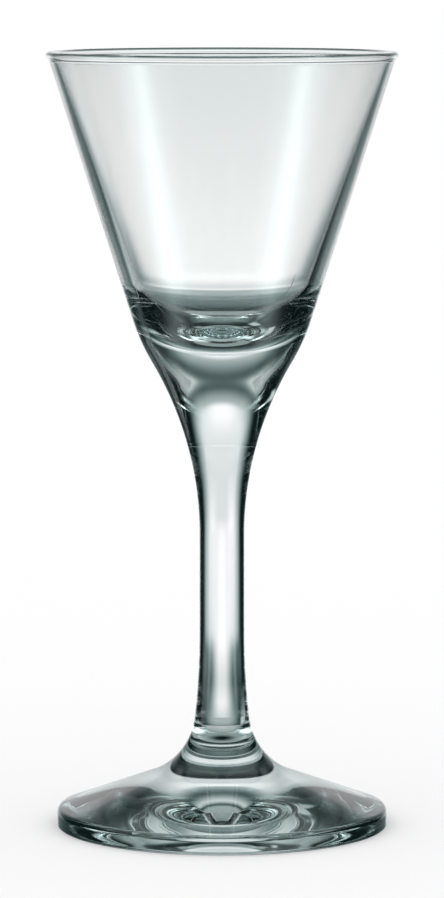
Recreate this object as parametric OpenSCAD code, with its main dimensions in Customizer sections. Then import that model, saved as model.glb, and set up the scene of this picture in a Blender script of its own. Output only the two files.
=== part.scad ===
// Cordial glass: a conical bowl on a drawn stem and a round foot, welded together while hot.
// Millimetres, +Z up, origin on the table at the centre of the foot.

/* [Glass] */
// Height from the table to the top of the rim
glass_h = 133.25; // [125:0.05:145]
// Steps in each rounded stretch of an outline
arc_steps = 16; // [8:1:40]

/* [Bowl] */
// Outside diameter over the bead of the rim
rim_d = 60; // [56:0.1:66]
// Angle of the outer wall from the vertical
bowl_angle = 17.66; // [16:0.01:19]
// Radius of the fire-polished bead that ends the wall
bead_r = 0.67; // [0.5:0.01:0.8]
// How far the bead stands out from the outside of the wall
bead_proud = 0.34; // [0.2:0.01:0.45]
// Radius that rounds the crease of the bead with the outside of the wall
crease_round = 1.0; // [0.2:0.05:1.4]
// How far the bead stands in from the inside of the wall
bead_inset = 0.07; // [0:0.01:0.15]
// Level thickness of the wall at the foot of the cavity
base_wall = 2.79; // [2.2:0.01:3.4]
// Depth of the cavity at its centre, from the top of the rim
cavity_depth = 49.15; // [44:0.05:51]
// Radius that rounds the wall into the small level floor of the cavity
floor_round = 15.6; // [8:0.1:18]
// Depth of the shoulder, where the wall turns in towards the neck, from the top of the rim
shoulder_depth = 49.25; // [47:0.05:52]
// Radius of the shoulder
shoulder_round = 33.7; // [20:0.1:40]
// Angle of the neck from the vertical
neck_angle = 30; // [27:0.1:33]
// Height of the bowl, from its weld with the stem to the top of the rim
bowl_h = 66.65; // [61:0.05:71]

/* [Stem] */
// Diameter of the straight part of the stem
stem_d = 7.72; // [7:0.01:9]
// Radius of the flare from the stem up into the neck
neck_flare = 58.2; // [45:0.1:62]
// Height at which the stem starts to widen towards the foot
ankle_h = 26.3; // [24:0.1:32]
// Angle of the widening from the vertical
ankle_angle = 6.4; // [4:0.1:9]
// Radius with which that widening starts
ankle_round = 135; // [90:1:170]
// Height of the weld between the stem and the foot
foot_weld_h = 17.9; // [15:0.1:21]

/* [Foot] */
// Diameter of the foot
foot_d = 57; // [54:0.1:62]
// Height at which the foot's top would meet its upright edge sharply
foot_edge_h = 3.02; // [2.6:0.01:4]
// Slope of the foot's top from the level
foot_slope = 20.25; // [18:0.01:22]
// Radius of the edge's upper corner
edge_round = 1.16; // [0.6:0.01:1.6]
// Radius of the edge's lower corner
heel_round = 0.3; // [0.2:0.01:0.6]
// Radius of the flare from the foot's top up into the stem
foot_flare = 11.9; // [9:0.1:14]
// Width of the level ring that the glass stands on
rest_w = 3.3; // [1.5:0.1:5]
// Rise of the hollow under the foot at its centre
hollow_rise = 1.4; // [0.6:0.1:2]

/* [Hidden] */
$fn = 96;
glass_colour = [0.80, 0.88, 0.87, 0.45];

// Arc about a centre between two angles
function arc(centre, r, from, to) =
    [for (i = [0 : arc_steps])
        let (a = from + (to - from) * i / arc_steps)
        centre + r * [cos(a), sin(a)]];

// Half of the angle at the corner b of the path a, b, c
function half_corner(a, b, c) = acos((a - b) * (c - b) / norm(a - b) / norm(c - b)) / 2;

// Arc of radius r that rounds the corner b of the path a, b, c
function rounded(a, b, c, r) =
    let (
        u = (a - b) / norm(a - b),
        v = (c - b) / norm(c - b),
        half = half_corner(a, b, c),
        centre = b + (u + v) / norm(u + v) * r / sin(half),
        first = b + u * r / tan(half) - centre,
        start = atan2(first.y, first.x),
        turn = (180 - 2 * half) * sign(cross(v, u))
    )
    arc(centre, r, start, start + turn);

// Meeting point of the line through p at angle a with the line through q at angle b
function meet(p, a, q, b) =
    p + cross(q - p, [cos(b), sin(b)]) / sin(b - a) * [cos(a), sin(a)];

// Stretch of a rising path between two heights, cut level at both
function radius_at(path, z) = lookup(z, [for (p = path) [p.y, p.x]]);
function between(path, low, high) = concat(
    [[radius_at(path, low), low]],
    [for (p = path) if (p.y > low && p.y < high) p],
    [[radius_at(path, high), high]]
);

// Tops of the wall's outside and inside, level with the centre of the bead, and the foot of its inside
bead_centre = [rim_d / 2 - bead_r, glass_h - bead_r];
wall_top = bead_centre + [bead_r - bead_proud, 0];
inside_top = bead_centre - [bead_r - bead_inset, 0];
cavity_z = glass_h - cavity_depth;
base = meet(wall_top, 90 - bowl_angle, [0, cavity_z], 0) - [base_wall, 0];
inside_angle = atan2(inside_top.x - base.x, inside_top.y - base.y);

// Rounded crease below the bead, which touches both the wall and the bead
wall_up = [sin(bowl_angle), cos(bowl_angle)];
wall_out = [cos(bowl_angle), -sin(bowl_angle)];
crease_out = wall_top + crease_round * wall_out - bead_centre;
crease_rise = crease_out * wall_up;
crease_drop = crease_rise
    + sqrt(crease_rise ^ 2 - crease_out * crease_out + (bead_r + crease_round) ^ 2);
crease_centre = bead_centre + crease_out - crease_drop * wall_up;
crease_end = atan2(bead_centre.y - crease_centre.y, bead_centre.x - crease_centre.x);
crease = arc(crease_centre, crease_round, 180 - bowl_angle, crease_end);

// Bead of the rim, over the top from the rounded crease to its crease with the inside
bead_start = crease_end - 180;
bead_end = 180 - inside_angle + acos((bead_r - bead_inset) * cos(inside_angle) / bead_r);
bead = arc(bead_centre, bead_r, bead_start, bead_end);

// Corners of the outside
shoulder = meet(wall_top, 90 - bowl_angle, [0, glass_h - shoulder_depth], 0);
neck = meet([stem_d / 2, 0], 90, shoulder, 90 - neck_angle);
ankle = [stem_d / 2, ankle_h];
heel = [foot_d / 2, 0];
foot_edge = [foot_d / 2, foot_edge_h];
instep = meet(foot_edge, 180 - foot_slope, ankle, 90 + ankle_angle);

// The neck's flare starts above the round of the ankle, however short the stem is
ankle_run = ankle_round / tan(half_corner(instep, ankle, neck));
flare_limit = (norm(neck - ankle) - ankle_run) * tan(half_corner(ankle, neck, shoulder));

// Outside of the whole glass, from the underside of the foot up to the bead
neck_weld_h = glass_h - bowl_h;
outside = concat(
    rounded([0, 0], heel, foot_edge, heel_round),
    rounded(heel, foot_edge, instep, edge_round),
    rounded(foot_edge, instep, ankle, foot_flare),
    rounded(instep, ankle, neck, ankle_round),
    rounded(ankle, neck, shoulder, min(neck_flare, flare_limit)),
    rounded(neck, shoulder, wall_top, shoulder_round),
    crease
);

// Floor of the cavity, whose round ends at the axis at the latest
floor_centre = [0, cavity_z];
floor_limit = base.x * tan(half_corner(inside_top, base, floor_centre));
cavity = concat(
    rounded(inside_top, base, floor_centre, min(floor_round, floor_limit)),
    [floor_centre]
);

// Hollow under the foot, a shallow dome inside the ring that it stands on
hollow_reach = foot_d / 2 - heel_round - rest_w;
hollow_dome = (hollow_reach ^ 2 + hollow_rise ^ 2) / (2 * hollow_rise);
hollow_centre = [0, hollow_rise - hollow_dome];
hollow = arc(hollow_centre, hollow_dome, 90, acos(hollow_reach / hollow_dome));

module bowl() {
    color(glass_colour) rotate_extrude() polygon(concat(
        [[0, neck_weld_h]],
        between(outside, neck_weld_h, bead[0].y),
        bead,
        cavity
    ));
}

module stem() {
    color(glass_colour) rotate_extrude() polygon(concat(
        [[0, foot_weld_h]],
        between(outside, foot_weld_h, neck_weld_h),
        [[0, neck_weld_h]]
    ));
}

module foot() {
    color(glass_colour) rotate_extrude() polygon(concat(
        hollow,
        between(outside, 0, foot_weld_h),
        [[0, foot_weld_h]]
    ));
}

bowl();
stem();
foot();
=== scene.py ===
import math

import bmesh
import bpy
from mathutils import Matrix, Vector


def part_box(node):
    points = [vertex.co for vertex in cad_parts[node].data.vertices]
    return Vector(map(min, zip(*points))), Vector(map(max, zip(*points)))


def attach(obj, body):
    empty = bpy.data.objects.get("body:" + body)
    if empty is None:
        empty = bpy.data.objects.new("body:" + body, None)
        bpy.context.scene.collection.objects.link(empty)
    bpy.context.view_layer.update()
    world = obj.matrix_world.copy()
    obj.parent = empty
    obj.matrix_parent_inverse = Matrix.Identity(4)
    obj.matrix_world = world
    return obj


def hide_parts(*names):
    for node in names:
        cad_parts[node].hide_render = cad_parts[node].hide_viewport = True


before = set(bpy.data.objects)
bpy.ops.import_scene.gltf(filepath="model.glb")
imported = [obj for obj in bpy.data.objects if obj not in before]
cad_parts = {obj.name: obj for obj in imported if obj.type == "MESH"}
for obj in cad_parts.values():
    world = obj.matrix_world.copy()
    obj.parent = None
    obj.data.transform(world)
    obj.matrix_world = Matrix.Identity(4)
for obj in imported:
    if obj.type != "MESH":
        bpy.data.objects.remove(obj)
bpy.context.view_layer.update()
mm = 0.001


# Foot
# A disc of glass pressed hot onto the end of the stem, with a fire-polished edge.
# It stands on a narrow ground ring, and is hollowed to a shallow dome inside that ring.

foot_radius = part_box("foot")[1].x
foot_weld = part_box("foot")[1].z
edge_height = 3.02 * mm
top_slope = math.radians(20.25)
edge_round = 1.16 * mm
heel_round = 0.3 * mm
collar_round = 11.9 * mm
ring_width = 3.3 * mm
hollow_rise = 1.4 * mm
stem_radius = 3.86 * mm
ankle_height = 26.3 * mm
ankle_lean = math.radians(6.4)

# The pieces stop this far apart at a weld, so that no two faces lie in one plane.
weld_gap = 0.01 * mm

# The outlines are cut and turned finely enough for light to bend through them without facets.
outline_step = 0.7 * mm
arc_step = math.radians(1.7)
fewest_steps = 4
turns = 256
same_point = 0.002 * mm
sharp_edge = math.radians(25)

# Marks that tell the glass which faces are welded and which lie on the outside.
weld_layer = "weld"
mould_layer = "mould"


def heading(angle):
    """Direction in the plane of an outline, at an angle above +X."""
    return Vector((math.cos(angle), 0, math.sin(angle)))


def meeting(point, angle, other, other_angle):
    """Where two lines of an outline meet, each given by a point and its angle."""
    across = Vector((-math.sin(other_angle), 0, math.cos(other_angle)))
    return point + heading(angle) * ((other - point).dot(across) / heading(angle).dot(across))


def straight_to(outline, last, point):
    """Draws a straight stretch of an outline, cut into short steps so that it shades true."""
    steps = max(1, round((point - last.co).length / outline_step))
    step = (point - last.co) / steps
    for _ in range(steps):
        last = bmesh.ops.extrude_vert_indiv(outline, verts=[last])["verts"][0]
        last.co += step
    return last


def swing(outline, last, centre, angle):
    """Turns the end of an outline about a centre, anticlockwise where the angle is positive."""
    length = abs(angle) * (last.co - centre).length
    steps = max(fewest_steps, round(abs(angle) / arc_step), round(length / outline_step))
    arc = bmesh.ops.spin(outline, geom=[last], cent=centre, axis=(0, -1, 0), angle=angle, steps=steps)
    return [part for part in arc["geom_last"] if isinstance(part, bmesh.types.BMVert)][0]


def round_corner(outline, last, corner, ahead, radius):
    """Draws up to a corner of an outline and round it with a radius, towards the point ahead."""
    back = (last.co - corner).normalized()
    onward = (ahead - corner).normalized()
    half = back.angle(onward) / 2
    centre = corner + (back + onward).normalized() * radius / math.sin(half)
    last = straight_to(outline, last, corner + back * radius / math.tan(half))
    side = 1 if onward.cross(back).y < 0 else -1
    return swing(outline, last, centre, side * (math.pi - 2 * half))


def lathe(name, outline, welds):
    """Turns an outline about the axis into a closed piece, and marks its welded and outer faces."""
    bmesh.ops.spin(outline, geom=outline.verts[:] + outline.edges[:], cent=(0, 0, 0), axis=(0, 0, 1),
                   angle=2 * math.pi, steps=turns, use_merge=True)
    bmesh.ops.remove_doubles(outline, verts=outline.verts, dist=same_point)
    bmesh.ops.recalc_face_normals(outline, faces=outline.faces)
    welded = outline.faces.layers.float.new(weld_layer)
    moulded = outline.faces.layers.float.new(mould_layer)
    for face in outline.faces:
        face.smooth = True
        face[welded] = any(all(abs(v.co.z - z) < same_point for v in face.verts) for z in welds)
        face[moulded] = face.normal.xy.dot(face.calc_center_median().xy) > 0
    for edge in outline.edges:
        edge.smooth = edge.calc_face_angle(0) < sharp_edge
    mesh = bpy.data.meshes.new(name)
    outline.to_mesh(mesh)
    outline.free()
    piece = bpy.data.objects.new(name, mesh)
    bpy.context.scene.collection.objects.link(piece)
    return piece


def linear(code):
    """Turns an sRGB hex colour into the linear values that a shader takes."""
    channels = [int(code[i:i + 2], 16) / 255 for i in (1, 3, 5)]
    return [c / 12.92 if c <= 0.04045 else ((c + 0.055) / 1.055) ** 2.4 for c in channels] + [1]


def add(tree, kind, values=(), **settings):
    """Adds a node with its settings, and sets or links its inputs, a node by its first output."""
    made = tree.nodes.new(kind)
    for key, value in settings.items():
        setattr(made, key, value)
    for socket, value in dict(values).items():
        if isinstance(value, bpy.types.Node):
            value = value.outputs[0]
        if isinstance(value, bpy.types.NodeSocket):
            tree.links.new(value, made.inputs[socket])
        else:
            made.inputs[socket].default_value = value
    return made


# Soda-lime glass, pressed, drawn and fire-polished: clear and colourless in the thin wall, with the
# grey-green of its iron where the light runs far inside it, as in the edge and the foot.
# Its skin is faintly wavy and holds fine cords, and the ring that it stands on is scuffed.
glass_ior = 1.52
air_ior = 1.0
glass = bpy.data.materials.new("soda_lime_glass")
glass.use_nodes = True
tree = glass.node_tree
tree.nodes.clear()
place = add(tree, "ShaderNodeTexCoord").outputs["Object"]
height = add(tree, "ShaderNodeSeparateXYZ", {0: place}).outputs["Z"]

# Fire polish leaves long waves, a few thousandths of a millimetre high.
wave_length = 8 * mm
wave_height = 0.006 * mm
waves = add(tree, "ShaderNodeTexNoise", {"Vector": place, "Scale": 1 / wave_length, "Detail": 1.0})
relief = add(tree, "ShaderNodeMath", {0: waves, 1: wave_height}, operation="MULTIPLY")

# The two halves of the mould leave a hairline seam down opposite sides of the base, which fades out
# towards the stem and up the wall. It is drawn coarser than the real one, too fine to show.
neck_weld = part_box("stem")[1].z
seam_angle = math.radians(33)
seam_width = 0.3 * mm
seam_height = 0.04 * mm
seam_top = 95 * mm
fade_below = 8 * mm
fade_above = 3 * mm
seam_across = (math.sin(seam_angle), -math.cos(seam_angle), 0)
seam = add(tree, "ShaderNodeVectorMath", {0: place, 1: seam_across}, operation="DOT_PRODUCT").outputs["Value"]
seam = add(tree, "ShaderNodeMath", {0: seam}, operation="ABSOLUTE")
seam = add(tree, "ShaderNodeMapRange", {"Value": seam, "From Max": seam_width / 2, "To Min": seam_height,
                                        "To Max": 0.0}, interpolation_type="SMOOTHSTEP")
for gone, full in ((neck_weld, neck_weld + fade_below), (seam_top, seam_top - fade_above)):
    fade = add(tree, "ShaderNodeMapRange", {
        "Value": height, "From Min": min(gone, full), "From Max": max(gone, full),
        "To Min": float(full < gone), "To Max": float(full > gone)}, interpolation_type="SMOOTHSTEP")
    seam = add(tree, "ShaderNodeMath", {0: seam, 1: fade}, operation="MULTIPLY")

# The weld between neck and stem is a low ring, also drawn coarser than the real one.
weld_ring_width = 0.5 * mm
weld_ring_height = 0.02 * mm
ring = add(tree, "ShaderNodeMath", {0: height, 1: neck_weld}, operation="SUBTRACT")
ring = add(tree, "ShaderNodeMath", {0: ring}, operation="ABSOLUTE")
ring = add(tree, "ShaderNodeMapRange", {"Value": ring, "From Max": weld_ring_width / 2,
                                        "To Min": weld_ring_height, "To Max": 0.0},
           interpolation_type="SMOOTHSTEP")

# Both marks are on the outside alone, not in the cavity.
moulded = add(tree, "ShaderNodeAttribute", attribute_name=mould_layer).outputs["Fac"]
marks = add(tree, "ShaderNodeMath", {0: seam, 1: ring}, operation="ADD")
marks = add(tree, "ShaderNodeMath", {0: marks, 1: moulded}, operation="MULTIPLY")
relief = add(tree, "ShaderNodeMath", {0: relief, 1: marks}, operation="ADD")
skin = add(tree, "ShaderNodeBump", {"Strength": 1.0, "Distance": 1.0, "Height": relief})

# Cords are streaks of slightly denser glass, drawn out upwards. Sockets 6 and 7 of a colour mix are
# its two colours, and output 2 is what it gives.
cord_gap = 2 * mm
cord_stretch = (1, 1, 0.12)
streaks = add(tree, "ShaderNodeVectorMath", {0: place, 1: cord_stretch}, operation="MULTIPLY")
streaks = add(tree, "ShaderNodeTexNoise", {"Vector": streaks, "Scale": 1 / cord_gap, "Detail": 2.0})
tone = add(tree, "ShaderNodeMix", {0: streaks, 6: linear("#fafdfc"), 7: linear("#ffffff")}, data_type="RGBA")

# The table has dulled the level ring under the foot a little.
scuff_height = 0.05 * mm
scuff_roughness = 0.06
scuffs = add(tree, "ShaderNodeMapRange", {"Value": height, "From Max": scuff_height,
                                          "To Min": scuff_roughness, "To Max": 0.0})

# Light runs straight on through a weld, so the faces that meet there bend it no more than air does.
welded = add(tree, "ShaderNodeAttribute", attribute_name=weld_layer)
ior = add(tree, "ShaderNodeMapRange", {"Value": welded.outputs["Fac"], "To Min": glass_ior,
                                       "To Max": air_ior})
surface = add(tree, "ShaderNodeBsdfPrincipled", {
    "Base Color": tone.outputs[2], "Roughness": scuffs, "Transmission Weight": 1.0, "IOR": ior,
    "Normal": skin})

# The linked sockets keep plain values too, for an exported model to take.
surface.inputs["Base Color"].default_value = linear("#fcfefd")
surface.inputs["Roughness"].default_value = 0.0
surface.inputs["IOR"].default_value = glass_ior

# White light takes on about this tint in so long a path through the glass.
tint_path = 50 * mm
depth_tint = add(tree, "ShaderNodeVolumeAbsorption", {"Color": linear("#d6e1e2"), "Density": 1 / tint_path})
add(tree, "ShaderNodeOutputMaterial", {"Surface": surface, "Volume": depth_tint})

heel = Vector((foot_radius, 0, 0))
edge_top = Vector((foot_radius, 0, edge_height))
ankle = Vector((stem_radius, 0, ankle_height))
instep = meeting(edge_top, math.pi - top_slope, ankle, math.pi / 2 + ankle_lean)
ring_inside = foot_radius - heel_round - ring_width
dome_radius = (ring_inside ** 2 + hollow_rise ** 2) / (2 * hollow_rise)

outline = bmesh.new()
end = outline.verts.new((0, 0, hollow_rise))
end = swing(outline, end, Vector((0, 0, hollow_rise - dome_radius)), -math.asin(ring_inside / dome_radius))
end = round_corner(outline, end, heel, edge_top, heel_round)
end = round_corner(outline, end, edge_top, instep, edge_round)
end = round_corner(outline, end, instep, ankle, collar_round)
end = straight_to(outline, end, ankle)
bmesh.ops.bisect_plane(outline, geom=outline.verts[:] + outline.edges[:], plane_co=(0, 0, foot_weld),
                       plane_no=(0, 0, 1), clear_outer=True)
end = max(outline.verts, key=lambda v: v.co.z)
end = straight_to(outline, end, Vector((0, 0, foot_weld)))
foot = lathe("foot_glass", outline, [foot_weld])
foot.data.materials.append(glass)
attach(foot, "root")
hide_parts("foot")


# Stem
# A solid rod drawn down from the bowl while the glass is soft.
# It is welded hot into the foot below and is one with the bowl's neck above.

rim_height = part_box("bowl")[1].z
rim_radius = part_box("bowl")[1].x
ankle_round = 135 * mm
neck_flare = 58.2 * mm
neck_lean = math.radians(30)
wall_lean = math.radians(17.66)
bead_radius = 0.67 * mm
bead_proud = 0.34 * mm
shoulder_depth = 49.25 * mm

wall_top = Vector((rim_radius - bead_proud, 0, rim_height - bead_radius))
shoulder = meeting(wall_top, math.pi / 2 - wall_lean, Vector((0, 0, rim_height - shoulder_depth)), 0)
neck = meeting(ankle, math.pi / 2, shoulder, math.pi / 2 - neck_lean)

outline = bmesh.new()
end = outline.verts.new(instep)
end = round_corner(outline, end, ankle, neck, ankle_round)
end = round_corner(outline, end, neck, shoulder, neck_flare)
end = straight_to(outline, end, (neck + shoulder) / 2)
for level, side in ((foot_weld + weld_gap, -1), (neck_weld - weld_gap, 1)):
    bmesh.ops.bisect_plane(outline, geom=outline.verts[:] + outline.edges[:], plane_co=(0, 0, level),
                           plane_no=(0, 0, side), clear_outer=True)
for end in (min(outline.verts, key=lambda v: v.co.z), max(outline.verts, key=lambda v: v.co.z)):
    straight_to(outline, end, Vector((0, 0, end.co.z)))
stem = lathe("stem_glass", outline, [foot_weld + weld_gap, neck_weld - weld_gap])
stem.data.materials.append(glass)
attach(stem, "root")
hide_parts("stem")


# Bowl
# A cone of glass with a thick base, made in a mould, its rim cut off and melted to a round bead.
# Its neck is drawn down into the stem.

shoulder_round = 33.7 * mm
crease_round = 1.0 * mm
bead_inset = 0.07 * mm
base_wall = 2.79 * mm
cavity_depth = 49.15 * mm
floor_round = 15.6 * mm

bead_centre = Vector((rim_radius - bead_radius, 0, rim_height - bead_radius))
inside_top = bead_centre - Vector((bead_radius - bead_inset, 0, 0))
floor_centre = Vector((0, 0, rim_height - cavity_depth))
base = meeting(wall_top, math.pi / 2 - wall_lean, floor_centre, 0) - Vector((base_wall, 0, 0))
inside_lean = math.atan2(inside_top.x - base.x, inside_top.z - base.z)

# The crease below the bead is rounded by an arc that touches both the wall and the bead, and the
# bead runs over the top from there to the inside of the wall.
crease_out = wall_top + heading(-wall_lean) * crease_round - bead_centre
crease_rise = crease_out.dot(heading(math.pi / 2 - wall_lean))
crease_drop = crease_rise + math.sqrt(crease_rise ** 2 - crease_out.length_squared
                                      + (bead_radius + crease_round) ** 2)
crease_centre = bead_centre + crease_out - heading(math.pi / 2 - wall_lean) * crease_drop
crease_end = math.atan2(bead_centre.z - crease_centre.z, bead_centre.x - crease_centre.x)
bead_end = math.pi - inside_lean + math.acos((bead_radius - bead_inset) * math.cos(inside_lean) / bead_radius)

outline = bmesh.new()
end = outline.verts.new(ankle)
end = round_corner(outline, end, neck, shoulder, neck_flare)
end = round_corner(outline, end, shoulder, wall_top, shoulder_round)
end = straight_to(outline, end, crease_centre - heading(-wall_lean) * crease_round)
end = swing(outline, end, crease_centre, crease_end - (math.pi - wall_lean))
end = swing(outline, end, bead_centre, bead_end - (crease_end - math.pi))
end = round_corner(outline, end, base, floor_centre, floor_round)
end = straight_to(outline, end, floor_centre)
bmesh.ops.bisect_plane(outline, geom=outline.verts[:] + outline.edges[:],
                       plane_co=(0, 0, neck_weld + weld_gap), plane_no=(0, 0, -1), clear_outer=True)
end = min(outline.verts, key=lambda v: v.co.z)
end = straight_to(outline, end, Vector((0, 0, end.co.z)))
bowl = lathe("bowl_glass", outline, [neck_weld + weld_gap])
bowl.data.materials.append(glass)
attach(bowl, "root")
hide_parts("bowl")


# Floor
# A plain white table top, matt, on which the glass leaves a soft shadow. The glass mirrors and bends
# the studio alone, so the table doesn't show in it.

floor_half = 1.5
outline = bmesh.new()
bmesh.ops.create_grid(outline, x_segments=1, y_segments=1, size=floor_half)
mesh = bpy.data.meshes.new("table")
outline.to_mesh(mesh)
outline.free()
table = bpy.data.objects.new("table", mesh)
bpy.context.scene.collection.objects.link(table)
table_paint = bpy.data.materials.new("matt_white_table")
table_paint.use_nodes = True
table_surface = table_paint.node_tree.nodes["Principled BSDF"]
table_surface.inputs["Base Color"].default_value = linear("#ffffff")
table_surface.inputs["Roughness"].default_value = 1.0
table_surface.inputs["Specular IOR Level"].default_value = 0.0
table.data.materials.append(table_paint)
table.visible_glossy = False
table.visible_transmission = False


# Studio
# A white room, seen as plain white behind the glass and lighting the table evenly. The glass itself
# mirrors and bends the lit studio: soft windows behind, above, beside and in front, and dark between.
# Directions are in degrees, round the glass from straight behind it and up from level.

world = bpy.data.worlds.new("studio")
bpy.context.scene.world = world
world.use_nodes = True
tree = world.node_tree
tree.nodes.clear()
ray = add(tree, "ShaderNodeTexCoord").outputs["Generated"]
ray = add(tree, "ShaderNodeSeparateXYZ", {0: ray})
turned = add(tree, "ShaderNodeMath", {0: ray.outputs["X"], 1: ray.outputs["Y"]}, operation="ARCTAN2")
turned = add(tree, "ShaderNodeMath", {0: turned}, operation="DEGREES")
beside = add(tree, "ShaderNodeMath", {0: turned}, operation="ABSOLUTE")
raised = add(tree, "ShaderNodeMath", {0: ray.outputs["Z"]}, operation="ARCSINE")
raised = add(tree, "ShaderNodeMath", {0: raised}, operation="DEGREES")


def window(middle, half, soft, sill, head, brightness, about=beside):
    """A window by its middle, half width and softness, and the height and softness of sill and head."""
    away = add(tree, "ShaderNodeMath", {0: about, 1: middle}, operation="SUBTRACT")
    away = add(tree, "ShaderNodeMath", {0: away}, operation="ABSOLUTE")
    low, low_soft = sill
    high, high_soft = head
    shape = brightness
    for value, dark, lit in ((away, half + soft, half - soft), (raised, low - low_soft, low + low_soft),
                             (raised, high + high_soft, high - high_soft)):
        edge = add(tree, "ShaderNodeMapRange", {
            "Value": value, "From Min": min(dark, lit), "From Max": max(dark, lit),
            "To Min": float(lit < dark), "To Max": float(lit > dark)}, interpolation_type="SMOOTHSTEP")
        shape = add(tree, "ShaderNodeMath", {0: shape, 1: edge}, operation="MULTIPLY")
    return shape


# A window off the middle stands on the left and on the right alike. The one whose head is below its
# sill is a faint stripe, all soft edge, and those with a head past 90 degrees reach the zenith.
# A fitting program set their places and brightness by the photograph's light. They are rounded to
# half a degree and a twentieth of white.
behind = [
    window(middle=0, half=28.5, soft=14, sill=(-9, 4.5), head=(27.5, 10), brightness=0.85),
    window(middle=0, half=13, soft=11, sill=(19.5, 10), head=(24.5, 1.5), brightness=0.65),
    window(middle=26, half=12.5, soft=7.5, sill=(-9.5, 1.5), head=(-3.5, 10), brightness=0.45),
    window(middle=24, half=23, soft=5.5, sill=(-9.5, 8), head=(-11.5, 5), brightness=0.7),
    window(middle=0, half=12, soft=10.5, sill=(-16.5, 1.5), head=(-7, 3.5), brightness=0.8),
    window(middle=0, half=23, soft=15, sill=(-26, 4.5), head=(-15.5, 2.5), brightness=0.5),
    window(middle=0, half=14.5, soft=15, sill=(-38, 10), head=(-27, 1.5), brightness=0.2),
]
above = [
    window(middle=0, half=42, soft=10.5, sill=(41.5, 10), head=(46.5, 3.5), brightness=1.1),
    window(middle=0, half=57.5, soft=5, sill=(51, 2.5), head=(100, 4), brightness=0.45),
    window(middle=84, half=29, soft=8.5, sill=(34, 10), head=(96.5, 8), brightness=0.8),
    window(middle=100, half=20.5, soft=1.5, sill=(23.5, 1.5), head=(30, 8.5), brightness=0.4),
]
at_the_sides = [
    window(middle=114, half=8, soft=7.5, sill=(-8.5, 1.5), head=(-1.5, 2.5), brightness=2.5),
    window(middle=117, half=4.5, soft=7, sill=(-34, 1.5), head=(-18.5, 10), brightness=1.8),
    window(middle=111, half=17.5, soft=15, sill=(-49, 10), head=(-32.5, 5.5), brightness=2.5),
    window(middle=68, half=17, soft=4, sill=(-57.5, 10), head=(-39, 6), brightness=0.4),
]

# The last of those in front runs all round the glass, low down.
in_front = [
    window(middle=142.5, half=14, soft=1.5, sill=(-26, 1.5), head=(-10.5, 10), brightness=0.35),
    window(middle=157.5, half=23.5, soft=2.5, sill=(-54.5, 6.5), head=(-29, 1.5), brightness=0.55),
    window(middle=0, half=200, soft=10, sill=(-74.5, 10), head=(-53, 2), brightness=0.35),
]

# Three single windows keep the glass bright when it is seen from the side or behind.
round_the_room = [
    window(middle=-45, half=9, soft=4, sill=(-31, 4), head=(-19, 4), brightness=0.65, about=turned),
    window(middle=-90, half=11, soft=5, sill=(-8, 4), head=(4, 4), brightness=0.95, about=turned),
    window(middle=135, half=18, soft=5, sill=(-26, 5), head=(-6, 4), brightness=0.9, about=turned),
]

# The dark between the windows isn't quite black.
darkness = 0.01
light = darkness
for bright in behind + above + round_the_room:
    light = add(tree, "ShaderNodeMath", {0: light, 1: bright}, operation="ADD")
cool = 0.0
for bright in at_the_sides + in_front:
    cool = add(tree, "ShaderNodeMath", {0: cool, 1: bright}, operation="ADD")

# The dim parts of the room hold a little less red than the windows, and so do the windows whose
# light the glass mostly mirrors, at its sides and in front.
dim_red_power = 1.18
cool_red = 0.85
red = add(tree, "ShaderNodeMath", {0: light, 1: dim_red_power}, operation="POWER")
red = add(tree, "ShaderNodeMath", {0: red, 1: light}, operation="MINIMUM")
red = add(tree, "ShaderNodeMath", {0: cool, 1: cool_red, 2: red}, operation="MULTIPLY_ADD")
light = add(tree, "ShaderNodeMath", {0: light, 1: cool}, operation="ADD")
glow = add(tree, "ShaderNodeCombineColor", {0: red, 1: light, 2: light})
seen = add(tree, "ShaderNodeBackground", {"Color": (1, 1, 1, 1), "Strength": 1.0})
mirrored = add(tree, "ShaderNodeBackground", {"Color": glow, "Strength": 1.0})
path = add(tree, "ShaderNodeLightPath")
by_glass = add(tree, "ShaderNodeMath", {0: path.outputs["Is Glossy Ray"],
                                        1: path.outputs["Is Transmission Ray"]}, operation="MAXIMUM")
mixed = add(tree, "ShaderNodeMixShader", {0: by_glass, 1: seen, 2: mirrored})
add(tree, "ShaderNodeOutputWorld", {"Surface": mixed})


# Camera
# It stands as the photograph's did: far off, a little above the rim, looking slightly down.

camera_distance = 0.792944
camera_height = 0.153281
look_down = math.radians(6.3366)
lens = 186.3
far_clip = 10
scene = bpy.context.scene
camera = bpy.data.objects.new("camera", bpy.data.cameras.new("camera"))
scene.collection.objects.link(camera)
camera.location = (0, -camera_distance, camera_height)
camera.rotation_euler = (math.pi / 2 - look_down, 0, 0)
camera.data.lens = lens
camera.data.clip_end = far_clip
scene.camera = camera
scene.view_settings.view_transform = "Standard"

# Light may cross many faces of the glass before it leaves it.
most_bounces = 32
scene.cycles.max_bounces = most_bounces
scene.cycles.transmission_bounces = most_bounces
scene.cycles.glossy_bounces = most_bounces
